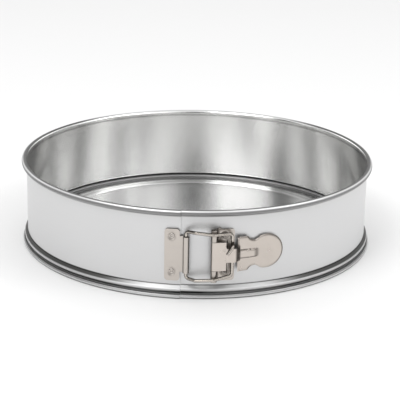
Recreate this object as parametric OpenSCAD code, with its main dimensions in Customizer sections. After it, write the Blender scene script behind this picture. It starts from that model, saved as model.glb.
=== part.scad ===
// Springform cake pan: a sprung sheet-metal band with a wired rim, a loose base held in the
// groove above its foot, and a riveted over-centre clasp with a wire bail and a thumb lever.
// The pan's axis is Z, it rests on Z = 0, and the clasp is at the front, towards -Y.

/* [Pan] */
// Inner diameter of the wall
pan_d = 280; // [240:1:320]
// Overall height
pan_h = 70; // [66:1:90]
// Thickness of the band's sheet
sheet_t = 0.6; // [0.5:0.05:0.7]
// Radius of the rolled rim
rim_r = 2.3; // [2:0.1:2.5]
// Radius of the rolled foot
foot_r = 1.7; // [1.5:0.1:1.8]
// Gap between the two ends of the band where they lap
lap_gap = 0.3; // [0.25:0.05:0.4]

/* [Base plate] */
// Height of the base plate's upper face at its edge
base_z = 5.6; // [5.4:0.1:6]
// Thickness of the base plate
base_t = 0.8; // [0.6:0.1:0.9]
// Depth of the centre panel below the edge
base_step = 1.5; // [0.8:0.1:2]
// Outer radius of the centre panel
panel_r = 126; // [90:1:128]

/* [Clasp] */
// Height of the clasp's middle above the table
latch_z = 35.4; // [34:0.1:40]
// Height of the two riveted plates
plate_h = 41; // [38:1:44]
// Thickness of the riveted plates
plate_t = 1; // [0.8:0.1:1.1]
// Distance between the two rivets of a plate
rivet_gap = 28.2; // [26:0.1:30]
// Thickness of the thumb lever
lever_t = 1.1; // [0.9:0.1:1.2]
// Radius of the round end of the thumb lever
tab_r = 13.3; // [11:0.1:14]
// Diameter of the bail's wire
wire_d = 2.6; // [2.2:0.1:2.6]
// Diameter of the hinge pin
pin_d = 2.4; // [2:0.1:2.4]

/* [Hidden] */
$fn = 64;

// The band. The left half is a little larger and off centre, so that it meets the right half
// at the back and laps over it at the front.
pan_r = pan_d / 2;
wall_r = pan_r + sheet_t;
lap_shift = (sheet_t + lap_gap) / 2;
rim_c = [pan_r + rim_r, pan_h - rim_r];
foot_flat = 0.1;
foot_c = [wall_r + 2.1, foot_r - foot_flat];
flare_z = 10.4;
// The band's outer face from the wall down to the foot: [outwards from the wall, height]
groove = [[0, flare_z], [0.5, 9.5], [1.6, 8.4], [2.4, 7.3], [2.6, 6.5], [2.3, 5.6], [1.3, 4.4],
    [0.9, 3.7], [0.9, 1.6]];
tongue_z = [flare_z + 0.8, rim_c[1] - rim_r - 0.6];
wire_fit = 0.05;

// Places along the wall, from the front line, as lengths of arc on the wall's outer face
seam_arc = -11.2;
seam_gap = 0.3;
tongue_arc = -14.6;
catch_arc = [-23.2, -11.8];
catch_rivet_arc = -17.7;
barrel_arc = -7.1;
anchor_arc = [15.2, 28.9];
anchor_rivet_arc = 21.6;
pin_arc = 13;

// The clasp's heights over the wall
seat = 0.05;
catch_off = 2 * lap_shift + seat;
knuckle_r = pin_d / 2 + lever_t;
barrel_r = wire_d / 2 + plate_t;
barrel_off = catch_off + barrel_r;
barrel_h = 28.5;
pin_off = 6;
bend_r = 2.4;
bend_bite = 0.05;
straight_d = wire_d - 0.04;
run_fit = 0.07;
back_gap = 0.02;
corner_r = 2.5;

// The lever, in its own frame: u runs along it from the pin, n points away from the wall
lever_tilt = 4.76;
lever_h = 22.4;
neck_h = 26.8;
run_u = 13.7;
mouth_u = [9.4, 18.6];
boss_z = [-4.4, 6.3];
boss_rise = 1.1;
neck_n = -2.2;
tab_u = 41.1;
tip_u = tab_u + tab_r;
neck_slope = tan(12.9);
rib_w = 6.4;
rib_end = 34.3;
rib_rise = 0.9;
dip_r = 6;
dip_u = 31.3;

function arc_angle(arc) = arc / wall_r * 180 / PI;
function wall_point(arc, off, z) =
    [(wall_r + off) * sin(arc_angle(arc)), -(wall_r + off) * cos(arc_angle(arc)), z];
lever_angle = arc_angle(pin_arc) + lever_tilt;
function lever_point(u, n, z) = wall_point(pin_arc, pin_off, latch_z)
    + [u * cos(lever_angle) + n * sin(lever_angle), u * sin(lever_angle) - n * cos(lever_angle), z];
function neck_level(u) = neck_n - (u - mouth_u[1] - 1) * neck_slope;

// Turns children that are drawn at the front to a place along the wall
module along_wall(arc) rotate([0, 0, arc_angle(arc)]) children();

// Part of a ring round the pan, between two places along the wall
module ring_part(from_arc, to_arc) {
    start_angle = 270 + arc_angle(from_arc);
    rotate_extrude(start = start_angle, angle = arc_angle(to_arc - from_arc), $fn = 180) children();
}

module roll_section(centre, r) translate(centre) difference() {
    circle(r);
    circle(r - sheet_t);
}

module wall_section(shift) translate([shift, 0]) {
    translate([pan_r, flare_z]) square([sheet_t, rim_c[1] - flare_z]);
    roll_section(rim_c, rim_r);
}

module foot_section(shift) translate([shift, 0]) difference() {
    union() {
        translate([pan_r, flare_z - 0.1]) square([sheet_t, 0.6]);
        polygon(concat([for (p = groove) [wall_r + p[0], p[1]]],
            [for (i = [len(groove) - 1 : -1 : 0]) [pan_r + groove[i][0], groove[i][1]]]));
        roll_section(foot_c, foot_r);
    }
    translate([pan_r - 5, -5]) square([20, 5]);
}

module rivet_hole(arc, z, r, depth = 12) along_wall(arc)
    translate([0, -wall_r + 4, z]) rotate([90, 0, 0]) cylinder(r = r, h = depth);

module half_turn(left) {
    back = wall_r * PI * (1 - back_gap / 180);
    if (left) translate([0, -lap_shift, 0]) ring_part(-back, seam_arc) children();
    else ring_part(seam_arc + seam_gap, back) children();
}

module band_left() color("gainsboro") difference() {
    union() {
        half_turn(true) wall_section(lap_shift);
        half_turn(true) foot_section(lap_shift);
    }
    for (side = [-1, 1]) rivet_hole(catch_rivet_arc, latch_z + side * rivet_gap / 2, 1.25);
}

module band_right() color("gainsboro") difference() {
    union() {
        half_turn(false) wall_section(0);
        half_turn(false) foot_section(0);
        ring_part(tongue_arc, seam_arc + seam_gap + 1)
            translate([pan_r, tongue_z[0]]) square([sheet_t, tongue_z[1] - tongue_z[0]]);
    }
    for (side = [-1, 1]) rivet_hole(anchor_rivet_arc, latch_z + side * rivet_gap / 2, 1.25);
}

module rim_wire_section(shift) translate([rim_c[0] + shift, rim_c[1]])
    circle(rim_r - sheet_t - wire_fit);

module rim_wire_left() color("darkgray") half_turn(true) rim_wire_section(lap_shift);

module rim_wire_right() color("darkgray") half_turn(false) rim_wire_section(0);

// The loose base: a flat edge in the groove, a sloping step and a sunk centre panel
module base_plate() color("lightgray") {
    top = [[0, base_z - base_step], [panel_r, base_z - base_step], [panel_r + 5, base_z],
        [pan_r + 1.3, base_z]];
    rotate_extrude($fn = 180) polygon(concat(top,
        [for (i = [len(top) - 1 : -1 : 0]) [top[i][0], top[i][1] - base_t]]));
}

module rounded_outline(w, h, r) union() {
    translate([-w / 2 + r, -h / 2]) square([w - 2 * r, h]);
    translate([-w / 2, -h / 2 + r]) square([w, h - 2 * r]);
    for (x = [-1, 1], y = [-1, 1]) translate([x * (w / 2 - r), y * (h / 2 - r)]) circle(r);
}

// A curved plate that lies on the wall between two places along it
module wall_plate(arc, base_r) {
    w = arc[1] - arc[0];
    intersection() {
        ring_part(arc[0] - 1, arc[1] + 1) translate([base_r, 0]) square([plate_t, pan_h]);
        along_wall((arc[0] + arc[1]) / 2) translate([0, 0, latch_z - 0.9]) rotate([90, 0, 0])
            translate([0, 0, wall_r - 10]) linear_extrude(30) rounded_outline(w, plate_h, corner_r);
    }
}

module dish(arc, z, base_r) along_wall(arc) translate([0, -base_r - plate_t + 0.4, z])
    rotate([90, 0, 0]) cylinder(r1 = 2.6, r2 = 3.8, h = 1.2);

// A tubular rivet: its shank passes the wall and the plate, and both ends are rolled over
module rivet(arc, z, back_r, front_r) color("silver") along_wall(arc)
    translate([0, -back_r, z]) rotate([90, 0, 0]) difference() {
        union() {
            cylinder(r = 1.2, h = front_r - back_r);
            translate([0, 0, -0.5]) cylinder(r1 = 1.7, r2 = 2, h = 0.5);
            translate([0, 0, front_r - back_r]) cylinder(r1 = 2.2, r2 = 1.6, h = 0.7);
        }
        translate([0, 0, front_r - back_r - 0.3]) cylinder(r = 0.75, h = 2);
    }

left_r = wall_r + lap_shift;

module catch_plate() color("tan") difference() {
    union() {
        translate([0, -lap_shift, 0]) wall_plate(catch_arc, left_r + seat);
        translate([0, -lap_shift, latch_z - barrel_h / 2])
            ring_part(catch_arc[1] - 3, barrel_arc)
                translate([left_r + seat, 0]) square([plate_t, barrel_h]);
        translate(wall_point(barrel_arc, barrel_off, latch_z - barrel_h / 2))
            cylinder(r = barrel_r, h = barrel_h);
    }
    translate(wall_point(barrel_arc, barrel_off, 0)) cylinder(r = wire_d / 2 + run_fit, h = pan_h);
    for (side = [-1, 1]) {
        rivet_hole(catch_rivet_arc, latch_z + side * rivet_gap / 2, 1.25);
        dish(catch_rivet_arc, latch_z + side * rivet_gap / 2, wall_r + catch_off);
    }
}

module catch_rivet(side)
    rivet(catch_rivet_arc, latch_z + side * rivet_gap / 2, wall_r + 2 * lap_shift - sheet_t - 0.15,
        wall_r + catch_off + plate_t - 0.4);

module catch_rivet_upper() catch_rivet(1);

module catch_rivet_lower() catch_rivet(-1);

// The anchor's leaf rises from its plate and curls round the pin above and below the lever
module anchor_plate() color("tan") {
    knuckle_z = [lever_h / 2 + 0.3, plate_h / 2];
    leaf = [[-0.8, 3.85], [1.5, 4.3], [6.6, 0.9], [5, 0.35], [2.6, 1.9], [-0.2, 3.6]];
    difference() {
        union() {
            wall_plate(anchor_arc, wall_r + seat);
            for (side = [-1, 1]) along_wall(pin_arc) translate([0, -wall_r,
                latch_z + side * (knuckle_z[0] + knuckle_z[1]) / 2])
                linear_extrude(knuckle_z[1] - knuckle_z[0], center = true) {
                    translate([0, -pin_off]) circle(knuckle_r);
                    mirror([0, 1]) polygon(leaf);
                }
        }
        translate(wall_point(pin_arc, pin_off, 0)) cylinder(r = pin_d / 2 + 0.02, h = pan_h);
        for (side = [-1, 1]) {
            rivet_hole(anchor_rivet_arc, latch_z + side * rivet_gap / 2, 1.25);
            dish(anchor_rivet_arc, latch_z + side * rivet_gap / 2, wall_r + seat);
        }
    }
}

module anchor_rivet(side)
    rivet(anchor_rivet_arc, latch_z + side * rivet_gap / 2, pan_r - 0.02,
        wall_r + seat + plate_t - 0.4);

module anchor_rivet_upper() anchor_rivet(1);

module anchor_rivet_lower() anchor_rivet(-1);

module hinge_pin() color("silver")
    translate(wall_point(pin_arc, pin_off, latch_z)) cylinder(d = pin_d, h = plate_h - 0.6, center = true);

// The lever's sheet seen from above, as [u, n] along its middle
function lever_line() = [[0, knuckle_r - lever_t / 2], [8.6, knuckle_r - lever_t / 2],
    [9.8, knuckle_r - lever_t / 2 + boss_rise], [16.2, knuckle_r - lever_t / 2 + boss_rise],
    [mouth_u[1] + 1, neck_n], [tip_u + 1, neck_level(tip_u + 1)]];

module lever_sheet(line, t) mirror([0, 1]) polygon(concat([for (p = line) [p[0], p[1] + t / 2]],
    [for (i = [len(line) - 1 : -1 : 0]) [line[i][0], line[i][1] - t / 2]]));

module lever_outline() {
    translate([0, -lever_h / 2]) square([mouth_u[0], lever_h]);
    translate([mouth_u[0] - 1, boss_z[0]]) square([mouth_u[1] - mouth_u[0] + 2, boss_z[1] - boss_z[0]]);
    difference() {
        union() {
            translate([mouth_u[1], -neck_h / 2]) square([tab_u - mouth_u[1] - tab_r + 4, neck_h]);
            translate([tab_u, 0]) circle(tab_r);
        }
        for (side = [-1, 1]) translate([dip_u, side * (neck_h / 2 + dip_r - 3.3)]) circle(dip_r);
    }
}

module lever_rib() {
    translate([mouth_u[1] - 2, -rib_w / 2]) square([rib_end - mouth_u[1] + 2 - rib_w / 2, rib_w]);
    translate([rib_end - rib_w / 2, 0]) circle(rib_w / 2);
}

// The lever: a curl round the pin, a flat body, a raised bridge over the bail's end, a ribbed
// neck and a round thumb tab
module lever() color("tan") translate(wall_point(pin_arc, pin_off, latch_z))
    rotate([0, 0, lever_angle]) difference() {
        union() {
            cylinder(r = knuckle_r, h = lever_h, center = true);
            intersection() {
                linear_extrude(2 * tab_r + 2, center = true) lever_sheet(lever_line(), lever_t);
                rotate([90, 0, 0]) linear_extrude(60, center = true) lever_outline();
            }
            intersection() {
                linear_extrude(rib_w, center = true) lever_sheet(
                    [for (u = [mouth_u[1] - 1, rib_end]) [u, neck_level(u) + lever_t / 2]], 2 * rib_rise);
                rotate([90, 0, 0]) linear_extrude(60, center = true) lever_rib();
            }
        }
        cylinder(r = pin_d / 2 + run_fit, h = lever_h + 1, center = true);
    }

// A wire bent through a list of corners: straight lengths joined by round bends
module bent_wire(path) {
    last = len(path) - 1;
    ways = [for (i = [1 : last]) (path[i] - path[i - 1]) / norm(path[i] - path[i - 1])];
    turns = [for (i = [1 : last - 1]) acos(ways[i - 1] * ways[i])];
    trims = concat([0], [for (turn = turns) bend_r * tan(turn / 2)], [0]);
    for (i = [1 : last]) translate(path[i - 1] + ways[i - 1] * (trims[i - 1] - bend_bite))
        rotate([0, acos(ways[i - 1][2]), atan2(ways[i - 1][1], ways[i - 1][0])])
            cylinder(d = straight_d,
                h = norm(path[i] - path[i - 1]) - trims[i - 1] - trims[i] + 2 * bend_bite);
    for (i = [1 : last - 1]) {
        way = ways[i - 1];
        axis = cross(way, ways[i]) / sin(turns[i - 1]);
        side = cross(axis, way);
        centre = path[i] - way * trims[i] + side * bend_r;
        multmatrix([for (k = [0 : 2]) [-side[k], way[k], axis[k], centre[k]]])
            rotate_extrude(angle = turns[i - 1]) translate([bend_r, 0]) circle(d = wire_d);
    }
}

// The bail: one wire from its hooked tip, through the barrel, to its end under the bridge
module wire_bail() color("tan") {
    hook_n = knuckle_r + boss_rise + wire_d / 2 + 0.8;
    over_n = pin_off + knuckle_r + wire_d / 2 + 0.6;
    bent_wire([lever_point(9, hook_n, 2.6), lever_point(run_u - 0.4, hook_n - 0.6, 8.4),
        lever_point(run_u, 0, 10.8), lever_point(run_u, 0, 17), wall_point(pin_arc, over_n, 53.4),
        wall_point(0, 8, 54.3), wall_point(barrel_arc, barrel_off, 53.8),
        wall_point(barrel_arc, barrel_off, 17), wall_point(0, 8, 16.6),
        wall_point(pin_arc, over_n, 17.8), lever_point(run_u, 0, -15.9), lever_point(run_u, 0, 4.6)]);
}

base_plate();
band_left();
band_right();
rim_wire_left();
rim_wire_right();
catch_plate();
catch_rivet_upper();
catch_rivet_lower();
anchor_plate();
anchor_rivet_upper();
anchor_rivet_lower();
hinge_pin();
lever();
wire_bail();
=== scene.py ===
"""Springform cake pan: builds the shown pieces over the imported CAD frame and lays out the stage."""
import math

import bmesh
import bpy
import numpy as np
from bpy.props import FloatProperty, FloatVectorProperty, IntProperty, PointerProperty
from mathutils import Matrix, Vector


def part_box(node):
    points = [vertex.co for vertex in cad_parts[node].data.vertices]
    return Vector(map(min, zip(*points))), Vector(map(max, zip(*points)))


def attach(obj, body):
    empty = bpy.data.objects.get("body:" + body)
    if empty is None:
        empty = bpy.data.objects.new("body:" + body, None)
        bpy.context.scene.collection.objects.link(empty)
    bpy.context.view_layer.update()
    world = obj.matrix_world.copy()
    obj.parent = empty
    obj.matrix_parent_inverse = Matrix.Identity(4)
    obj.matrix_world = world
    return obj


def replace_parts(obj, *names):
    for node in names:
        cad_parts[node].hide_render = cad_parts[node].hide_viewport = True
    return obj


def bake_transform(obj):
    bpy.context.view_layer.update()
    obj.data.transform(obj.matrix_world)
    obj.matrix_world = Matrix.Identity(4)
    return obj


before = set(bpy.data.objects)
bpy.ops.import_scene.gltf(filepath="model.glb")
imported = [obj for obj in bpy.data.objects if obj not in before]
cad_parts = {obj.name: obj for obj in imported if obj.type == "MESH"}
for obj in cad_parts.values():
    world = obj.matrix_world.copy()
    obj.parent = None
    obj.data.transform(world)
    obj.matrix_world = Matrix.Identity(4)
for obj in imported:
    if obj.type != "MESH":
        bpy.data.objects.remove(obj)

bl_info = {
    "name": "Springform pan",
    "version": (1, 0, 0),
    "blender": (4, 5, 0),
    "location": "3D View > Sidebar > Springform pan",
    "description": "Builds a springform cake pan with its clasp",
    "category": "Object",
}

MM = 0.001

# Sizes of the pan in millimetres, shared by all pieces
WALL_R = 140.6
MID_R = 140.3
LAP_SHIFT = 0.45
SEAM_ARC, SEAM_GAP = -11.2, 0.3
TONGUE_ARC = -14.6
LATCH_Z = 35.4
PIN_ARC, PIN_OFF = 13.0, 6.0
BARREL_ARC, BARREL_OFF, BARREL_R = -7.1, 3.25, 1.85
LEVER_ANGLE = math.degrees(PIN_ARC / WALL_R) + 4.76
RIVET_ARCS = {"catch": -17.7, "anchor": 21.6}
PLATE_HALF, PLATE_CORNER, PLATE_MID_Z = 20.5, 2.5, LATCH_Z - 0.9
PLATE_GAP = 0.05
BASE_STEP, BASE_T = 1.5, 0.8

# Radius and height of the centre of each roll of the band, and the roll's radius at the sheet's middle
RIM_ROLL = (142.3, 67.7), 2.0
FOOT_ROLL = (142.7, 1.6), 1.4

# Painted shade lines in the creases outside the band: height, width (both in metres) and depth of the painted
# dark line
CREASE_SHADES = ((0.0103, 0.0004, 0.5), (0.0026, 0.0004, 0.6), (0.0653, 0.0009, 1.2), (0.0004, 0.0006, 0.8))

# Gaps between the studio's light walls: angle round the pan, width (both in degrees) and depth
SKY_GAPS = ((3.0, 17.0, 0.97), (-66.0, 17.0, 1.0), (60.0, 17.0, 1.0), (-104.0, 16.0, 0.7), (110.0, 16.0, 0.6))

# Low and high colours of the clasp's plating
PLATE_COLORS = (0.52, 0.478, 0.44), (0.61, 0.562, 0.518)
LEVER_COLORS = (0.56, 0.508, 0.462), (0.66, 0.6, 0.55)
WIRE_COLORS = (0.52, 0.475, 0.43), (0.63, 0.585, 0.53)
RIVET_COLORS = (0.5, 0.46, 0.43), (0.62, 0.58, 0.54)
PIN_COLORS = (0.5, 0.48, 0.46), (0.66, 0.64, 0.6)


# Settings shown in the panel

class SPRINGFORM_PG_pan(bpy.types.PropertyGroup):
    """Sizes of the pan's sheet metal"""

    step_deg: FloatProperty(name="Facet", description="Angle of one facet round the wall, in degrees",
                            default=1.2, min=0.5, max=6.0)
    sheet: FloatProperty(name="Sheet", description="Thickness of the band's sheet", default=0.6 * MM,
                         min=0.3 * MM, max=1.0 * MM, unit="LENGTH")
    mottle: FloatProperty(name="Mottle", description="Depth of the faint upright mottling inside the wall",
                          default=1.0, min=0.0, max=2.0, subtype="FACTOR")


class SPRINGFORM_PG_clasp(bpy.types.PropertyGroup):
    """Sizes of the clasp"""

    plate_t: FloatProperty(name="Plate", description="Thickness of the riveted plates", default=1.0 * MM,
                           min=0.5 * MM, max=1.2 * MM, unit="LENGTH")
    lever_t: FloatProperty(name="Lever", description="Thickness of the lever", default=1.1 * MM,
                           min=0.5 * MM, max=1.2 * MM, unit="LENGTH")
    wire_r: FloatProperty(name="Wire", description="Radius of the bail's wire", default=1.3 * MM,
                          min=0.8 * MM, max=1.3 * MM, unit="LENGTH")
    wire_sides: IntProperty(name="Wire sides", description="Facets round the wire", default=20, min=8, max=48)
    rivet_gap: FloatProperty(name="Rivet gap", description="Distance between a plate's rivets",
                             default=28.2 * MM, min=0.02, max=0.035, unit="LENGTH")


class SPRINGFORM_PG_stage(bpy.types.PropertyGroup):
    """Light, floor and camera"""

    floor: FloatVectorProperty(name="Floor", description="Colour of the floor", default=(0.74, 0.74, 0.74),
                               subtype="COLOR", min=0.0, max=1.0)
    light: FloatProperty(name="World light", description="Strength of the light from all round",
                         default=1.5, min=0.0, max=4.0)
    distance: FloatProperty(name="Distance", description="Distance of the camera from the pan",
                            default=1.18, min=0.5, max=5.0, unit="LENGTH")
    elevation: FloatProperty(name="Elevation", description="Height of the camera as an angle",
                             default=math.radians(18.56), subtype="ANGLE")


# Small helpers for geometry

def wall_point(arc, off, z):
    """A point over the wall: arc along it from the front, off outwards, z up, all in millimetres."""
    angle = arc / WALL_R
    return Vector(((WALL_R + off) * math.sin(angle), -(WALL_R + off) * math.cos(angle), z)) * MM


def left_point(arc, off, z):
    """The same over the left half, which is a little larger and off centre."""
    return wall_point(arc, off + LAP_SHIFT, z) + Vector((0, -LAP_SHIFT * MM, 0))


def lever_point(u, n, z):
    """A point of the lever: u along it from the pin, n away from the wall, z from its middle."""
    c, s = math.cos(math.radians(LEVER_ANGLE)), math.sin(math.radians(LEVER_ANGLE))
    return wall_point(PIN_ARC, PIN_OFF, LATCH_Z) + Vector((u * c + n * s, u * s - n * c, z)) * MM


def smoothstep(a, b, x):
    t = min(max((x - a) / (b - a), 0.0), 1.0)
    return t * t * (3 - 2 * t)


def spline(points, per=4):
    """A smooth line through 2D points."""
    p = [np.array(q, float) for q in points]
    p = [2 * p[0] - p[1]] + p + [2 * p[-1] - p[-2]]
    out = []
    for i in range(1, len(p) - 2):
        a, b, c, d = p[i - 1], p[i], p[i + 1], p[i + 2]
        for k in range(per):
            t = k / per
            out.append(0.5 * (2 * b + (c - a) * t + (2 * a - 5 * b + 4 * c - d) * t * t
                              + (3 * b - a - 3 * c + d) * t ** 3))
    out.append(p[-2])
    return out


def arc_line(centre, r, start, end, count):
    """Points on a circle, between two angles in degrees."""
    return [(centre[0] + r * math.cos(math.radians(start + (end - start) * i / count)),
             centre[1] + r * math.sin(math.radians(start + (end - start) * i / count)))
            for i in range(count + 1)]


def new_object(name, mesh):
    obj = bpy.data.objects.new(name, mesh)
    bpy.context.scene.collection.objects.link(obj)
    return obj


def mesh_object(name, verts, faces, materials, indices=None, sharp=40):
    """A mesh object with merged points, outward faces, smooth shading and sharp corners."""
    mesh = bpy.data.meshes.new(name)
    mesh.from_pydata([tuple(v) for v in verts], [], faces)
    for m in materials:
        mesh.materials.append(m)
    if indices is not None:
        mesh.polygons.foreach_set("material_index", indices)
    bm = bmesh.new()
    bm.from_mesh(mesh)
    bmesh.ops.remove_doubles(bm, verts=bm.verts, dist=2e-6)
    bmesh.ops.dissolve_degenerate(bm, edges=bm.edges, dist=1e-6)
    bmesh.ops.recalc_face_normals(bm, faces=bm.faces)
    bm.to_mesh(mesh)
    bm.free()
    mesh.polygons.foreach_set("use_smooth", [True] * len(mesh.polygons))
    mesh.set_sharp_from_angle(angle=math.radians(sharp))
    return new_object(name, mesh)


def sheet_mesh(point, columns, rows, keep, thickness):
    """Points and faces of bent sheet metal.

    point(i, j) is on the sheet's middle, and keep(i, j) says which cells exist.
    """
    grid = np.array([[point(i, j) for j in range(rows)] for i in range(columns)], float)
    du, dv = np.gradient(grid, axis=0), np.gradient(grid, axis=1)
    normal = np.cross(du, dv)
    length = np.linalg.norm(normal, axis=2, keepdims=True)
    bad = length[..., 0] < 1e-14
    normal = normal / np.maximum(length, 1e-14)
    for i, j in zip(*np.nonzero(bad)):
        normal[i, j] = normal[i - 1, rows // 2]
    half = thickness / 2
    verts = np.concatenate([(grid + normal * half).reshape(-1, 3), (grid - normal * half).reshape(-1, 3)])
    count = columns * rows
    faces, edges = [], {}
    for i in range(columns - 1):
        for j in range(rows - 1):
            if not keep(i, j):
                continue
            a, b, c, d = i * rows + j, (i + 1) * rows + j, (i + 1) * rows + j + 1, i * rows + j + 1
            faces += [(a, b, c, d), (d + count, c + count, b + count, a + count)]
            for e in ((a, b), (b, c), (c, d), (d, a)):
                if (e[1], e[0]) in edges:
                    del edges[(e[1], e[0])]
                else:
                    edges[e] = True
    faces += [(b, a, a + count, b + count) for a, b in edges]
    return [Vector(v) for v in verts], faces


def join_meshes(parts):
    """Puts several (points, faces) together."""
    verts, faces = [], []
    for v, f in parts:
        n = len(verts)
        verts += v
        faces += [tuple(k + n for k in q) for q in f]
    return verts, faces


def lathe(profile, place, segments=48):
    """Turns a profile of (radius, height) in millimetres round an axis, and places it by a matrix."""
    verts, faces = [], []
    n = len(profile)
    for s in range(segments):
        a = 2 * math.pi * s / segments
        verts += [place @ Vector((r * math.cos(a) * MM, r * math.sin(a) * MM, h * MM)) for r, h in profile]
    for s in range(segments):
        t = (s + 1) % segments
        faces += [(s * n + i, t * n + i, t * n + i + 1, s * n + i + 1) for i in range(n - 1)]
    return verts, faces


# Geometry Nodes

class Graph:
    """A Geometry Nodes group with named inputs."""

    def __init__(self, name):
        self.group = bpy.data.node_groups.new(name, "GeometryNodeTree")
        self.inputs = {}
        self.socket("Geometry", "NodeSocketGeometry")
        self.group.interface.new_socket("Geometry", in_out="OUTPUT", socket_type="NodeSocketGeometry")
        self.start = self.group.nodes.new("NodeGroupInput")
        self.end = self.group.nodes.new("NodeGroupOutput")

    def socket(self, name, kind):
        item = self.group.interface.new_socket(name, in_out="INPUT", socket_type=kind)
        self.inputs[name] = item.identifier
        return item

    def node(self, kind, links=None, **settings):
        n = self.group.nodes.new(kind)
        for key, value in settings.items():
            setattr(n, key, value)
        for key, value in (links or {}).items():
            if isinstance(value, bpy.types.NodeSocket):
                self.group.links.new(value, n.inputs[key])
            else:
                n.inputs[key].default_value = value
        return n

    def input(self, name):
        if name not in self.inputs:
            raise RuntimeError(f"the group has no input named {name}")
        return self.start.outputs[name]

    def finish(self, geometry):
        """Ends the graph: real geometry, with its material."""
        real = self.node("GeometryNodeRealizeInstances", {"Geometry": geometry})
        shown = self.node("GeometryNodeSetMaterial", {"Geometry": real.outputs[0],
                                                      "Material": self.input("Material")})
        self.group.links.new(shown.outputs[0], self.end.inputs[0])


def run_graph(graph, obj, values):
    """Runs the graph on the object and keeps the result as its mesh."""
    modifier = obj.modifiers.new(graph.group.name, "NODES")
    modifier.node_group = graph.group
    for name, value in values.items():
        modifier[graph.inputs[name]] = value
    depsgraph = bpy.context.evaluated_depsgraph_get()
    mesh = bpy.data.meshes.new_from_object(obj.evaluated_get(depsgraph), depsgraph=depsgraph)
    obj.modifiers.remove(modifier)
    obj.data = mesh
    if not mesh.polygons:
        raise RuntimeError(f"{obj.name} came out empty")
    return obj


def wire_graph():
    """Round wire that follows a line of points, with rounded bends."""
    g = Graph("Bent wire")
    for name, kind in (("Wire radius", "NodeSocketFloat"), ("Bend radius", "NodeSocketFloat"),
                       ("Sides", "NodeSocketInt"), ("Material", "NodeSocketMaterial")):
        g.socket(name, kind)
    line = g.node("GeometryNodeMeshToCurve", {"Mesh": g.input("Geometry")})
    bent = g.node("GeometryNodeFilletCurve", {"Curve": line.outputs[0], "Count": 7,
                                              "Radius": g.input("Bend radius")}, mode="POLY")
    bent.inputs["Limit Radius"].default_value = True
    ring = g.node("GeometryNodeCurvePrimitiveCircle", {"Resolution": g.input("Sides"),
                                                       "Radius": g.input("Wire radius")})
    tube = g.node("GeometryNodeCurveToMesh", {"Curve": bent.outputs[0], "Profile Curve": ring.outputs[0],
                                              "Fill Caps": True})
    smooth = g.node("GeometryNodeSetShadeSmooth", {"Geometry": tube.outputs[0], "Shade Smooth": True})
    g.finish(smooth.outputs[0])
    return g


def row_graph():
    """The same thing repeated in an upright row."""
    g = Graph("Upright row")
    for name, kind in (("Count", "NodeSocketInt"), ("Spacing", "NodeSocketFloat"),
                       ("Material", "NodeSocketMaterial")):
        g.socket(name, kind)
    step = g.node("ShaderNodeCombineXYZ", {"Z": g.input("Spacing")})
    row = g.node("GeometryNodeMeshLine", {"Count": g.input("Count"), "Offset": step.outputs[0]})
    put = g.node("GeometryNodeInstanceOnPoints", {"Points": row.outputs[0], "Instance": g.input("Geometry")})
    g.finish(put.outputs[0])
    return g


# Shader maths

class Value:
    """A shader value that can be written into sums like a number."""

    def __init__(self, shader, socket):
        self.shader, self.socket = shader, socket

    def _math(self, kind, *others, flip=False):
        items = [self, *others]
        if flip:
            items = [*others, self]
        return self.shader.math(kind, *items)

    def __add__(self, o):
        return self._math("ADD", o)

    def __radd__(self, o):
        return self._math("ADD", o, flip=True)

    def __sub__(self, o):
        return self._math("SUBTRACT", o)

    def __rsub__(self, o):
        return self._math("SUBTRACT", o, flip=True)

    def __mul__(self, o):
        return self._math("MULTIPLY", o)

    def __rmul__(self, o):
        return self._math("MULTIPLY", o, flip=True)

    def __truediv__(self, o):
        return self._math("DIVIDE", o)

    def __rtruediv__(self, o):
        return self._math("DIVIDE", o, flip=True)

    def __pow__(self, o):
        return self._math("POWER", o)

    def __neg__(self):
        return self * -1.0

    def __abs__(self):
        return self._math("ABSOLUTE")


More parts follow.
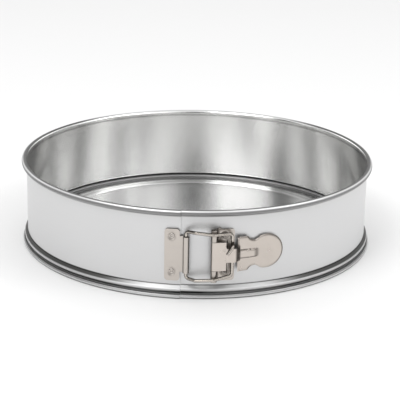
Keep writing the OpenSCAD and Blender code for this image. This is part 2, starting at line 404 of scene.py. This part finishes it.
class Shader:
    """A material being wired up."""

    def __init__(self, name):
        self.material = bpy.data.materials.new(name)
        self.material.use_nodes = True
        tree = self.material.node_tree
        tree.nodes.clear()
        self.surface = tree.nodes.new("ShaderNodeBsdfPrincipled")
        tree.links.new(self.surface.outputs[0], tree.nodes.new("ShaderNodeOutputMaterial").inputs[0])
        self.follow(tree, "Object")

    def follow(self, tree, coordinates):
        """Adds nodes to the tree from here on, and reads places from its coordinates."""
        self.tree = tree
        self.coords = self.node("ShaderNodeTexCoord").outputs[coordinates]
        split = self.node("ShaderNodeSeparateXYZ", {0: self.coords})
        self.x, self.y, self.z = (Value(self, split.outputs[i]) for i in range(3))

    def node(self, kind, links=None, **settings):
        n = self.tree.nodes.new(kind)
        for key, value in settings.items():
            setattr(n, key, value)
        for key, value in (links or {}).items():
            self.wire(value, n.inputs[key])
        return n

    def wire(self, value, socket):
        if isinstance(value, Value):
            value = value.socket
        if isinstance(value, bpy.types.NodeSocket):
            self.tree.links.new(value, socket)
        else:
            socket.default_value = value

    def math(self, kind, *items):
        n = self.node("ShaderNodeMath", {i: v for i, v in enumerate(items)}, operation=kind)
        return Value(self, n.outputs[0])

    def bell(self, x, centre, width):
        """A smooth bump of height one."""
        return self.math("EXPONENT", -(((x - centre) / width) ** 2.0))

    def ramp(self, x, low, high):
        """Zero below low, one above high, smooth between."""
        n = self.node("ShaderNodeMapRange", {"Value": x, "From Min": low, "From Max": high},
                      interpolation_type="SMOOTHSTEP", clamp=True)
        return Value(self, n.outputs["Result"])

    def round_angle(self):
        """Angle round the pan in degrees, 0 at the front and positive to the right."""
        return self.math("ARCTAN2", self.x, -self.y) * (180 / math.pi)

    def radius(self):
        """Distance from the pan's axis."""
        return self.math("SQRT", self.x * self.x + self.y * self.y)

    def noise(self, scale, detail=3.0, vector=None, rough=0.5):
        n = self.node("ShaderNodeTexNoise", {"Vector": self.coords if vector is None else vector,
                                             "Scale": scale, "Detail": detail, "Roughness": rough})
        return Value(self, n.outputs["Fac"])

    def stretched(self, a, b, c):
        """Coordinates for a noise that is longer one way than another."""
        n = self.node("ShaderNodeCombineXYZ", {0: a, 1: b, 2: c})
        return n.outputs[0]

    def mix(self, factor, a, b):
        n = self.node("ShaderNodeMix", data_type="RGBA")
        self.wire(factor, n.inputs[0])
        for value, socket in ((a, n.inputs[6]), (b, n.inputs[7])):
            self.wire((*value, 1.0) if isinstance(value, tuple) and len(value) == 3 else value, socket)
        return n.outputs[2]

    def bump(self, height, distance, strength=1.0):
        n = self.node("ShaderNodeBump", {"Height": height, "Distance": distance, "Strength": strength})
        return n.outputs[0]

    def grained(self, amount):
        """Draws the gloss out across the sheet's grain, which runs round the pan."""
        self.surface.inputs["Anisotropic"].default_value = amount
        self.surface.inputs["Anisotropic Rotation"].default_value = 0.25

    def done(self, color, rough, metallic=1.0, normal=None):
        """Wires the surface and returns the material."""
        self.wire(color, self.surface.inputs["Base Color"])
        self.wire(rough, self.surface.inputs["Roughness"])
        self.wire(metallic, self.surface.inputs["Metallic"])
        if normal is not None:
            self.wire(normal, self.surface.inputs["Normal"])
        return self.material


class Sky(Shader):
    """The studio round the pan: soft light walls with dark gaps between them, and dark below."""

    def __init__(self, tree):
        self.follow(tree, "Generated")

    def level(self):
        """Brightness of the studio in each direction."""
        angle = self.round_angle()
        up = self.ramp(self.z, 0.06, 0.26) * (1.0 - 0.35 * self.ramp(self.z, 0.65, 0.95))
        gaps = sum(self.bell(angle, middle, width) * depth for middle, width, depth in SKY_GAPS)
        beside = 1.0 - self.ramp(self.z, 0.55, 0.9)
        return up * (1.0 - gaps * beside) + 0.02


def tin_inside(depth):
    """Bright tinplate inside the wall, faintly mottled, with a painted shade line where the rim turns over.
    """
    s = Shader("Tinplate inside")
    s.grained(0.9)
    angle = s.math("ARCTAN2", s.x, abs(s.y)) * (180 / math.pi)
    fine = s.noise(1.0, 2.0, s.stretched(angle * 0.12, s.z * 4.0, 0.0))
    level = 1.0 - (fine - 0.5) * 0.12 * depth
    # Painted shade line just under the rim
    level = level - s.bell(s.z, 0.066, 0.0008) * 0.5
    brightness = s.math("MINIMUM", s.math("MAXIMUM", level, 0.0), 1.0)
    color = s.mix(brightness, (0.2, 0.2, 0.19), (0.97, 0.97, 0.96))
    normal = s.bump(s.noise(1.0, 2.0, s.stretched(angle * 0.2, s.z * 20.0, 0.0)), 0.0001, 0.2)
    return s.done(color, 0.17 + fine * 0.08, 1.0, normal)


def tin_outside():
    """Satin tinplate outside the wall, with painted shade lines in the creases of the rim and the foot."""
    s = Shader("Tinplate outside")
    angle = s.round_angle()
    grain = s.noise(1.0, 4.0, s.stretched(angle * 0.08, s.z * 900.0, 0.0))
    cloud = s.noise(14.0, 2.0)
    # Painted shade: the lines in the foot are painted stronger on the sides than at the front, and the
    # groove's line darker by the lap
    side = s.ramp(abs(angle - 3.0), 14.0, 34.0)
    lap = s.bell(angle, -2.5, 7.0) * 0.8
    # Painted shade: a dark band on the upper slope of the foot's ridge and a dark line in the groove under it
    slope = s.ramp(s.z, 0.0072, 0.0082) - s.ramp(s.z, 0.0102, 0.0106)
    groove = s.bell(s.z, 0.0049, 0.0013) * (0.5 + 0.5 * side + lap)
    # Painted shade on the rim's roll, leaving its outer face bright and fainter at the back; the left half's
    # rim is off centre, so its bead is too
    r = s.radius()
    on_left = s.math("LESS_THAN", s.x, SEAM_ARC * MM * s.ramp(-s.y, 0.0, 0.02))
    shift = on_left * (1.0 - s.y / r) * (LAP_SHIFT * MM)
    bead_shade = (s.ramp(s.z, 0.0656, 0.0662) * (1.0 - s.bell(r - shift, 0.1439, 0.0006))
            * (1.0 - 0.7 * s.ramp(s.y, 0.09, 0.13)))
    crease_shade = slope * (0.45 + 0.5 * side) + groove + bead_shade * 0.93
    for height, width, depth in CREASE_SHADES:
        crease_shade = crease_shade + s.bell(s.z, height, width) * depth
    brightness = 1.0 - s.math("MINIMUM", crease_shade, 1.0)
    plain = s.mix(0.3 + 0.5 * cloud, (0.65, 0.65, 0.652), (0.72, 0.72, 0.722))
    color = s.mix(brightness, (0.03, 0.03, 0.028), plain)
    return s.done(color, 0.38 + 0.1 * grain, 0.9, s.bump(grain, 0.00003, 0.3))


def tin_base():
    """The base's bright sheet, turned on a lathe, with painted shade in its step and at its edge."""
    s = Shader("Tinplate base")
    s.grained(0.85)
    r = s.radius()
    turned = s.noise(1.0, 3.0, s.stretched(r * 900.0, 0.0, 0.0))
    # Painted shade: dark rings in the base's step and at its edge
    dark = s.bell(r, 0.1292, 0.0022) * 0.45 + s.bell(r, 0.1395, 0.0012) * 0.6
    color = s.mix(1.0 - dark, (0.09, 0.09, 0.085), (0.55, 0.55, 0.55))
    return s.done(color, 0.2 + 0.04 * turned, 1.0, s.bump(turned, 0.00002, 0.2))


def plated(name, colors, rough):
    """Nickel-plated steel with a faint warm tint, and painted shade on its cut edges and in its turned-in
    parts.
    """
    s = Shader(name)
    fine = s.noise(900.0, 3.0)
    cloud = s.noise(80.0, 2.0)
    # Painted shade: corners that face sideways get the dark colour
    bright = Value(s, s.node("ShaderNodeAttribute", attribute_name="painted_light").outputs["Fac"])
    color = s.mix(bright, (0.03, 0.025, 0.02), s.mix(cloud, *colors))
    return s.done(color, rough + 0.1 * cloud, 0.95, s.bump(fine, 0.00002, 0.25))


def mark_facing_shade(obj, low=0.5, high=0.93, facing=None):
    """Stores how far each corner of the piece faces away from the pan, or one way, as painted shade: corners
    facing sideways get dark.
    """
    mesh = obj.data
    normals = [n.vector for n in mesh.corner_normals]
    values = []
    for loop, n in zip(mesh.loops, normals):
        co = mesh.vertices[loop.vertex_index].co
        away = facing or Vector((co.x, co.y, 0)).normalized()
        values.append(0.04 + 0.96 * smoothstep(low, high, abs(n.dot(away))))
    mesh.attributes.new("painted_light", "FLOAT", "CORNER").data.foreach_set("value", values)
    return obj


# Pieces

def band_line():
    """The middle of the band's sheet as (radius, height) in millimetres, from the rim to the foot."""
    rim = arc_line(*RIM_ROLL, -140, 180, 30)
    wall = [(MID_R, z) for z in np.linspace(67.0, 11.6, 14)]
    groove = spline([(140.3, 11.0), (140.4, 10.2), (141.1, 9.2), (142.1, 8.1), (142.75, 7.2), (142.9, 6.4),
                     (142.5, 5.4), (141.7, 4.6), (141.3, 3.9), (141.2, 3.1)], 3)
    foot = arc_line(*FOOT_ROLL, 165, 415, 28)
    return [np.array(p, float) for p in [*rim, *wall, *groove, *foot]]


def section(line, thickness):
    """Both sides of a line of sheet, each as a list of (point, outward direction)."""
    p = np.array(line)
    t = np.gradient(p, axis=0)
    t /= np.linalg.norm(t, axis=1, keepdims=True)
    n = np.stack([-t[:, 1], t[:, 0]], axis=1)
    half = thickness / 2
    one = [(a + b * half, b) for a, b in zip(p, n)]
    two = [(a - b * half, -b) for a, b in zip(p, n)]
    return one, two


def sweep_band(name, start, end, left_of, step, line, thickness, materials):
    """The band's section swept between two angles in degrees from the front.

    left_of(angle) says which half of the band the angle is in.
    """
    count = max(2, int(math.ceil(abs(end - start) / step)))
    one, two = section(line, thickness)
    verts, normals, faces, indices = [], [], [], []

    def place(p, angle):
        a = math.radians(angle)
        shift = LAP_SHIFT if left_of(angle) else 0.0
        return Vector(((p[0] + shift) * math.sin(a), -(p[0] + shift) * math.cos(a) - shift,
                       max(p[1], 0.0))) * MM

    def direction(n, angle):
        a = math.radians(angle)
        return Vector((n[0] * math.sin(a), -n[0] * math.cos(a), n[1]))

    angles = [start + (end - start) * i / count for i in range(count + 1)]
    n = len(line)
    for side in (one, two):
        base = len(verts)
        for angle in angles:
            for p, d in side:
                verts.append(place(p, angle))
                normals.append(direction(d, angle))
        for i in range(count):
            for j in range(n - 1):
                a, b = base + i * n + j, base + (i + 1) * n + j
                faces.append((a, b, b + 1, a + 1))
                mid = (side[j][0] + side[j + 1][0]) / 2
                d = side[j][1] + side[j + 1][1]
                indices.append(1 if d[0] < 0 and mid[0] < MID_R + 0.2 else 0)
    # The two long edges of the sheet and its two cut ends
    second = (count + 1) * n
    for j in (0, n - 1):
        for i in range(count):
            a, b = i * n + j, (i + 1) * n + j
            faces.append((a, b, b + second, a + second))
            indices.append(0)
    ends = []
    for i in (0, count):
        for j in range(n - 1):
            a = i * n + j
            ends.append((a, a + 1, a + 1 + second, a + second))
    faces += ends
    indices += [0] * len(ends)
    mesh = bpy.data.meshes.new(name)
    mesh.from_pydata([tuple(v) for v in verts], [], faces)
    for m in materials:
        mesh.materials.append(m)
    mesh.polygons.foreach_set("material_index", indices)
    bm = bmesh.new()
    bm.from_mesh(mesh)
    bmesh.ops.recalc_face_normals(bm, faces=bm.faces)
    bm.to_mesh(mesh)
    bm.free()
    mesh.polygons.foreach_set("use_smooth", [True] * len(mesh.polygons))
    flat = len(faces) - len(ends)
    loops = []
    for poly in mesh.polygons:
        for v in poly.vertices:
            loops.append(poly.normal.copy() if poly.index >= flat else normals[v])
    mesh.normals_split_custom_set([tuple(v) for v in loops])
    return new_object(name, mesh)


class SPRINGFORM_OT_band(bpy.types.Operator):
    """Build the band: its front ends, its lapped tongue and the springing back"""

    bl_idname = "springform.band"
    bl_label = "Band"

    def execute(self, context):
        settings = context.scene.springform_pan
        line = band_line()
        sheet = settings.sheet / MM
        materials = [tin_outside(), tin_inside(settings.mottle)]
        seam = math.degrees(SEAM_ARC / WALL_R)
        seam_right = math.degrees((SEAM_ARC + SEAM_GAP) / WALL_R)
        tongue = math.degrees(TONGUE_ARC / WALL_R)
        step = settings.step_deg
        right = sweep_band("band_front_right", seam_right, 90, lambda a: False, step, line, sheet, materials)
        left = sweep_band("band_front_left", -90, seam, lambda a: True, step, line, sheet, materials)
        back = sweep_band("band_back", 90, 270, lambda a: a > 180, step, line, sheet, materials)
        strip = [np.array((MID_R, z), float) for z in np.linspace(64.8, 11.2, 12)]
        lap = sweep_band("band_lap", tongue, seam_right + 0.05, lambda a: False, step, strip, sheet - 0.02,
                         materials)
        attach(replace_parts(right, "band_right", "rim_wire_right"), "band_right")
        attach(lap, "band_right")
        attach(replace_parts(left, "band_left", "rim_wire_left"), "band_left")
        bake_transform(back)
        return {"FINISHED"}


class SPRINGFORM_OT_base(bpy.types.Operator):
    """Build the loose base"""

    bl_idname = "springform.base"
    bl_label = "Base"

    def execute(self, context):
        low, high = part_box("base_plate")
        top, edge = high.z / MM, high.x / MM
        panel = top - BASE_STEP
        upper = ([(0.0, panel), (60.0, panel), (110.0, panel)]
                 + [(float(a), float(b)) for a, b in spline([(123.0, panel), (126.0, panel + 0.06),
                                                             (128.5, panel + 0.75), (131.0, top - 0.06),
                                                             (134.0, top)], 5)]
                 + [(137.5, top), (edge - 0.25, top), (edge - 0.08, top - 0.08), (edge, top - 0.3)])
        lower = [(r, z - BASE_T) for r, z in reversed(upper[:-3])]
        profile = upper + [(edge, top - 0.55), (edge - 0.1, top - 0.75)] + lower
        verts, faces = lathe(profile, Matrix.Identity(4), 300)
        obj = mesh_object("base", verts, faces, [tin_base()], sharp=50)
        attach(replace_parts(obj, "base_plate"), "band_right")
        return {"FINISHED"}


def rounded_half(half, corner, d):
    """Half height of a rounded plate, d in from its end."""
    if d >= corner:
        return half
    d = max(d, 0.0)
    return half - corner + math.sqrt(max(corner * corner - (corner - d) ** 2, 0.0))


def dish(arc, z, rivet_arc, gap):
    """How deep a plate is dished round its two rivets, which are a gap apart."""
    inner, outer, deepest = 2.3, 3.9, 0.7
    r = min(math.hypot(arc - rivet_arc, z - LATCH_Z - side * gap / 2) for side in (-1, 1))
    return deepest * (1.0 - smoothstep(inner, outer, r))


class SPRINGFORM_OT_catch(bpy.types.Operator):
    """Build the left plate, whose tab curls round the bail"""

    bl_idname = "springform.catch"
    bl_label = "Catch plate"

    def execute(self, context):
        settings = context.scene.springform_clasp
        t, gap = settings.plate_t / MM, settings.rivet_gap / MM
        low, high = -23.2, -11.8
        arcs = list(np.concatenate([np.linspace(low, -20.7, 9), np.linspace(-20.2, -14.8, 14),
                                    np.linspace(-14.3, high, 9)]))
        first = len(arcs)
        flat = [(a, PLATE_GAP + t / 2) for a in [*arcs, *np.linspace(-11.0, -7.6, 4)]]
        curl = arc_line((BARREL_ARC, BARREL_OFF - LAP_SHIFT * 2), BARREL_R - 0.02, -90, 202, 32)
        path = flat + curl
        cuts = [-1.0, -0.985] + [float(v) for v in np.linspace(-0.96, 0.96, 49)] + [0.985, 1.0]
        tab_half = 14.25
        tab_low, tab_high = LATCH_Z - tab_half, LATCH_Z + tab_half
        rows = len(cuts)

        def height(i, j):
            if i >= first:
                a, b = tab_low, tab_high
            else:
                h = rounded_half(PLATE_HALF, PLATE_CORNER, min(arcs[i] - low, high - arcs[i]))
                a, b = PLATE_MID_Z - h, PLATE_MID_Z + h
            return a + (b - a) * (cuts[j] + 1) / 2

        def point(i, j):
            arc, off = path[i]
            z = height(i, j)
            if i < first:
                off -= dish(arc, z, RIVET_ARCS["catch"], gap)
            return left_point(arc, off + LAP_SHIFT, z)

        parts = [sheet_mesh(point, first, rows, lambda i, j: True, t * MM)]

        def tab_point(i, j):
            arc, off = path[i + first - 1]
            z = tab_low + (tab_high - tab_low) * j / 12
            return left_point(arc, off + LAP_SHIFT, z)

        parts.append(sheet_mesh(tab_point, len(path) - first + 1, 13, lambda i, j: True, t * MM * 0.98))
        verts, faces = join_meshes(parts)
        obj = mesh_object("catch", verts, faces, [plated("Nickel plate", PLATE_COLORS, 0.28)])
        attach(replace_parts(mark_facing_shade(obj), "catch_plate"), "band_left")
        return {"FINISHED"}


class SPRINGFORM_OT_anchor(bpy.types.Operator):
    """Build the right plate, with the leaves that curl round the hinge pin"""

    bl_idname = "springform.anchor"
    bl_label = "Anchor plate"

    def execute(self, context):
        settings = context.scene.springform_clasp
        t, gap = settings.plate_t / MM, settings.rivet_gap / MM
        start, end = 15.2, 28.9
        arcs = list(np.concatenate([np.linspace(start, 17.7, 9), np.linspace(18.2, 25.8, 18),
                                    np.linspace(26.4, end, 9)]))
        rows = 53

        def point(i, j):
            arc = arcs[i]
            h = rounded_half(PLATE_HALF, PLATE_CORNER, min(arc - start, end - arc))
            z = PLATE_MID_Z - h + 2 * h * j / (rows - 1)
            return wall_point(arc, PLATE_GAP + t / 2 - dish(arc, z, RIVET_ARCS["anchor"], gap), z)

        parts = [sheet_mesh(point, len(arcs), rows, lambda i, j: True, t * MM)]
        web = [(float(a), float(b)) for a, b in spline([(5.6, 0.55), (4.2, 0.85), (3.0, 1.75), (2.0, 3.0),
                                                        (1.0, 3.95), (0.0, 4.22)], 4)]
        r = 1.78
        curl = [(-r * math.sin(math.radians(a)), PIN_OFF - r * math.cos(math.radians(a)))
                for a in np.linspace(8, 285, 30)]
        line = web + curl
        inner, outer = 11.5, 20.5
        for low, high in ((LATCH_Z - outer, LATCH_Z - inner), (LATCH_Z + inner, LATCH_Z + outer)):
            def leaf(i, j):
                x, off = line[i]
                return wall_point(PIN_ARC + x, off, low + (high - low) * j / 6)

            parts.append(sheet_mesh(leaf, len(line), 7, lambda i, j: True, t * MM))
        verts, faces = join_meshes(parts)
        obj = mesh_object("anchor", verts, faces, [plated("Nickel plate", PLATE_COLORS, 0.28)])
        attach(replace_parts(mark_facing_shade(obj), "anchor_plate"), "band_right")
        return {"FINISHED"}


class SPRINGFORM_OT_lever(bpy.types.Operator):
    """Build the thumb lever"""

    bl_idname = "springform.lever"
    bl_label = "Lever"

    def execute(self, context):
        t = context.scene.springform_clasp.lever_t / MM
        half, neck, tab_u, tab_r = 11.2, 13.4, 41.1, 13.3
        low_z, high_z = -4.4, 6.3
        mouth = (9.4, 18.6)
        cranked = 12.9
        slope = math.tan(math.radians(cranked))
        notch_u, notch_r, notch_depth = 31.3, 6, 3.3
        top, rib_rise, rolled_edge = 2.3, 1.25, 0.5

        def level(u):
            """Height of the neck and the tab, which slope towards the wall."""
            return -2.2 + t / 2 - (u - 19.6) * slope

        def width(u):
            """Half width of the neck and the tab."""
            h = neck if u < 31.8 else 0.0
            if abs(u - tab_u) <= tab_r:
                h = max(h, math.sqrt(max(tab_r ** 2 - (u - tab_u) ** 2, 0.0)))
            if abs(u - notch_u) < notch_r:
                h = min(h, neck + notch_r - notch_depth - math.sqrt(notch_r ** 2 - (u - notch_u) ** 2))
            return h

        curl = [(None, a) for a in np.linspace(-292, -12, 28)]
        us = list(np.concatenate([np.linspace(0, 8.2, 9), [8.8], [mouth[0]], np.linspace(9.9, 18.1, 16),
                                  [mouth[1]], np.linspace(19.0, 24.0, 10), np.linspace(24.6, 40.0, 32),
                                  tab_u + tab_r * np.sin(np.radians(np.linspace(2, 90, 30)))]))
        columns = curl + [(u, None) for u in us]
        rows_low = [-1 + (1 + low_z / neck) * k / 10 for k in range(10)]
        rows_mid = [(low_z + (high_z - low_z) * k / 18) / neck for k in range(18)]
        rows_high = [high_z / neck + (1 - high_z / neck) * k / 8 for k in range(9)]
        ts = rows_low + rows_mid + rows_high
        first_mid, first_high = 10, 28

        def height(u, j):
            """Height of row j: the curl is narrower than the neck, and the tab is round."""
            if u is not None and u > mouth[1]:
                return ts[j] * width(u)
            z = ts[j] * neck
            if u is not None and u >= mouth[0] - 1e-6:
                return z
            if j < first_mid:
                return -half + (low_z + half) * j / first_mid
            if j > first_high:
                return high_z + (half - high_z) * (j - first_high) / (len(ts) - 1 - first_high)
            return z

        def surface(u, z):
            """Height of the upper face: the bridge over the mouth, the rib and the edge that rolls down."""
            n = top + 1.1 * smoothstep(8.2, 10.4, u)
            if u <= mouth[0]:
                window = smoothstep(low_z - 1.2, low_z, z) * (1 - smoothstep(high_z, high_z + 1.2, z))
                n = top + (n - top) * window
            if u > 15.4:
                window = smoothstep(low_z - 1.0, low_z, z) * (1 - smoothstep(high_z, high_z + 1.0, z))
                fall = smoothstep(15.4, 20.2, u)
                bridge = n * (1 - fall) + level(max(u, 19.6)) * fall
                plain = level(max(u, 18.6))
                n = bridge if u <= mouth[1] else plain + (bridge - plain) * window
            if u > 16:
                rib = (smoothstep(16, 20, u) * (1 - smoothstep(30.6, 35.4, u))
                       * (1 - smoothstep(2.2, 3.4, abs(z))))
                n += rib_rise * rib
                edge = width(u) - abs(z) if u > mouth[1] else 9.0
                if u > tab_u:
                    edge = min(edge, tab_r - math.hypot(u - tab_u, z))
                n -= rolled_edge * (1 - smoothstep(0.0, 1.2, edge))
            return n

        def point(i, j):
            u, angle = columns[i]
            z = height(u, j)
            if u is None:
                a, r = math.radians(angle), top - t / 2
                return lever_point(r * math.sin(a), r * math.cos(a), z)
            return lever_point(u, surface(u, z) - t / 2, z)

        def keep(i, j):
            u = columns[i][0]
            if u is None or u < mouth[0] - 1e-6 or u >= mouth[1] - 1e-6:
                return True
            return first_mid <= j < first_high

        verts, faces = sheet_mesh(point, len(columns), len(ts), keep, t * MM)
        metal = plated("Nickel lever", LEVER_COLORS, 0.24)
        obj = mesh_object("thumb_lever", verts, faces, [metal], sharp=35)
        turn = math.radians(LEVER_ANGLE - cranked)
        mark_facing_shade(obj, 0.55, 0.955, Vector((math.sin(turn), -math.cos(turn), 0)))
        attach(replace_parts(obj, "lever"), "lever")
        return {"FINISHED"}


class SPRINGFORM_OT_bail(bpy.types.Operator):
    """Bend the bail from one wire"""

    bl_idname = "springform.bail"
    bl_label = "Bail"

    def execute(self, context):
        settings = context.scene.springform_clasp
        run, hook, over, between = 13.7, 5.5, 10.2, 8.0
        barrel_z = 18.4

        def beside(arc, off, up):
            return wall_point(arc, off, LATCH_Z + up)

        # From the hooked tip over the lever, round by the top and the barrel, and back under the bridge
        path = [lever_point(9, hook, 2.6), lever_point(run - 0.4, hook - 0.6, 8.4),
                lever_point(run, 0, 10.8), lever_point(run, 0, 17),
                beside(PIN_ARC, over, 18.0), beside(0, between, 18.9),
                beside(BARREL_ARC, BARREL_OFF, barrel_z), beside(BARREL_ARC, BARREL_OFF, -barrel_z),
                beside(0, between, -18.8), beside(PIN_ARC, over, -17.6),
                lever_point(run, 0, -15.9), lever_point(run, 0, 4.6)]
        mesh = bpy.data.meshes.new("bail")
        mesh.from_pydata([tuple(p) for p in path], [(i, i + 1) for i in range(len(path) - 1)], [])
        obj = new_object("bail", mesh)
        metal = plated("Nickel wire", WIRE_COLORS, 0.18)
        run_graph(wire_graph(), obj, {"Wire radius": settings.wire_r - 0.02 * MM, "Bend radius": 2.6 * MM,
                                      "Sides": settings.wire_sides, "Material": metal})
        obj.data.set_sharp_from_angle(angle=math.radians(50))
        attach(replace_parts(mark_facing_shade(obj, 0.55, 1.0), "wire_bail"), "wire_bail")
        return {"FINISHED"}


class SPRINGFORM_OT_rivets(bpy.types.Operator):
    """Build both plates' rivets"""

    bl_idname = "springform.rivets"
    bl_label = "Rivets"

    def execute(self, context):
        gap = context.scene.springform_clasp.rivet_gap
        metal = plated("Nickel rivet", RIVET_COLORS, 0.25)
        graph = row_graph()
        eyelet = [(0.0, -0.35), (0.72, -0.35), (0.75, 0.15), (0.95, 0.5), (1.35, 0.68), (1.8, 0.6),
                  (2.12, 0.3), (2.18, 0.02), (1.15, 0.0), (1.15, -1.6)]
        tail = [(1.15, 0.0), (1.7, -0.02), (1.66, -0.3), (1.4, -0.46), (0.0, -0.5)]
        z = LATCH_Z * MM - gap / 2
        for side, front, back, body in (("catch", 1.55, 0.16, "band_left"),
                                        ("anchor", 0.65, -0.61, "band_right")):
            arc = RIVET_ARCS[side]
            turn = Matrix.Rotation(arc / WALL_R, 4, "Z") @ Matrix.Rotation(math.radians(90), 4, "X")
            parts = []
            for profile, off in ((eyelet, front), (tail, back)):
                at = Matrix.Translation(wall_point(arc, off, 0) + Vector((0, 0, z)))
                parts.append(lathe(profile, at @ turn, 32))
            verts, faces = join_meshes(parts)
            obj = mesh_object(side + "_rivets", verts, faces, [metal])
            run_graph(graph, obj, {"Count": 2, "Spacing": gap, "Material": metal})
            mark_facing_shade(obj, 0.2, 0.9)
            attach(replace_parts(obj, side + "_rivet_upper", side + "_rivet_lower"), body)
        return {"FINISHED"}


class SPRINGFORM_OT_pin(bpy.types.Operator):
    """Build the hinge pin, with slightly rounded ends"""

    bl_idname = "springform.pin"
    bl_label = "Hinge pin"

    def execute(self, context):
        low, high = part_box("hinge_pin")
        clearance = 0.065
        r = (high.x - low.x) / 2 / MM - clearance
        bottom, top = low.z / MM, high.z / MM
        centre = (low + high) / 2
        profile = [(0.0, bottom), (r - 0.35, bottom + 0.02), (r - 0.1, bottom + 0.12), (r, bottom + 0.4),
                   (r, top - 0.4), (r - 0.1, top - 0.12), (r - 0.35, top - 0.02), (0.0, top)]
        at = Matrix.Translation(Vector((centre.x, centre.y, 0)))
        verts, faces = lathe(profile, at, 32)
        metal = plated("Steel pin", PIN_COLORS, 0.3)
        obj = mesh_object("pin", verts, faces, [metal])
        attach(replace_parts(mark_facing_shade(obj), "hinge_pin"), "band_right")
        return {"FINISHED"}


def area_light(name, energy, size, at, to):
    """A soft rectangular light at one place, aimed at another."""
    data = bpy.data.lights.new(name, "AREA")
    data.energy, data.shape = energy, "RECTANGLE"
    data.size, data.size_y = size
    obj = bpy.data.objects.new(name, data)
    obj.location = at
    obj.rotation_euler = (Vector(to) - Vector(at)).to_track_quat("-Z", "Y").to_euler()
    bpy.context.scene.collection.objects.link(obj)


class SPRINGFORM_OT_stage(bpy.types.Operator):
    """Lay the floor, light the pan and place the camera"""

    bl_idname = "springform.stage"
    bl_label = "Stage"

    def execute(self, context):
        settings = context.scene.springform_stage
        scene = context.scene
        size = 30.0
        mesh = bpy.data.meshes.new("floor")
        corners = [(-size, -size, 0), (size, -size, 0), (size, size, 0), (-size, size, 0)]
        mesh.from_pydata(corners, [], [(0, 1, 2, 3)])
        floor = new_object("floor", mesh)
        s = Shader("Floor")
        color = s.mix(s.noise(0.5, 1.0) * 0.02, tuple(settings.floor), (0.7, 0.7, 0.7))
        mesh.materials.append(s.done(color, 0.9, 0.0))
        world = bpy.data.worlds.new("Studio")
        world.use_nodes = True
        scene.world = world
        back = world.node_tree.nodes["Background"]
        sky = Sky(world.node_tree)
        sky.wire(sky.level(), back.inputs["Color"])
        back.inputs["Strength"].default_value = settings.light
        middle = (0, 0, 0.03)
        area_light("Key", 14.0, (1.2, 0.8), (-0.8, -0.9, 1.6), middle)
        area_light("Fill", 8.0, (1.0, 1.0), (1.2, -0.5, 1.3), middle)
        scene.view_settings.view_transform = "Standard"
        data = bpy.data.cameras.new("Camera")
        data.lens, data.sensor_width = 126.4185, 36.0
        data.shift_x, data.shift_y = 0.00826, -0.00598
        data.clip_start, data.clip_end = 0.01, 200.0
        data.dof.use_dof = False
        camera = bpy.data.objects.new("Camera", data)
        target = Vector((0, 0, 0.032))
        away = Vector((0, -math.cos(settings.elevation), math.sin(settings.elevation)))
        camera.rotation_mode = "QUATERNION"
        camera.location = target + away * settings.distance
        roll = Matrix.Rotation(math.radians(1.01), 4, "Z")
        aim = (-away).to_track_quat("-Z", "Y").to_matrix().to_4x4()
        camera.rotation_quaternion = (aim @ roll).to_quaternion()
        scene.collection.objects.link(camera)
        scene.camera = camera
        return {"FINISHED"}


STEPS = (SPRINGFORM_OT_band, SPRINGFORM_OT_base, SPRINGFORM_OT_catch, SPRINGFORM_OT_anchor,
         SPRINGFORM_OT_lever, SPRINGFORM_OT_bail, SPRINGFORM_OT_rivets, SPRINGFORM_OT_pin,
         SPRINGFORM_OT_stage)


class SPRINGFORM_PT_panel(bpy.types.Panel):
    """Sizes and steps of the springform pan"""

    bl_label = "Springform pan"
    bl_idname = "SPRINGFORM_PT_panel"
    bl_space_type = "VIEW_3D"
    bl_region_type = "UI"
    bl_category = "Springform pan"

    def draw(self, context):
        for key in GROUPS:
            group = getattr(context.scene, key)
            box = self.layout.box()
            for name in group.__annotations__:
                box.prop(group, name)
        for step in STEPS:
            self.layout.operator(step.bl_idname)


GROUPS = {"springform_pan": SPRINGFORM_PG_pan, "springform_clasp": SPRINGFORM_PG_clasp,
          "springform_stage": SPRINGFORM_PG_stage}


def register():
    for cls in (*GROUPS.values(), *STEPS, SPRINGFORM_PT_panel):
        bpy.utils.register_class(cls)
    for name, cls in GROUPS.items():
        setattr(bpy.types.Scene, name, PointerProperty(type=cls))


def unregister():
    for name in GROUPS:
        delattr(bpy.types.Scene, name)
    for cls in reversed((*GROUPS.values(), *STEPS, SPRINGFORM_PT_panel)):
        bpy.utils.unregister_class(cls)


def main():
    register()
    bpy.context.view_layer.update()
    for step in STEPS:
        area, name = step.bl_idname.split(".")
        if getattr(getattr(bpy.ops, area), name)() != {"FINISHED"}:
            raise RuntimeError(f"{step.bl_label} did not finish")


if __name__ == "__main__":
    main()
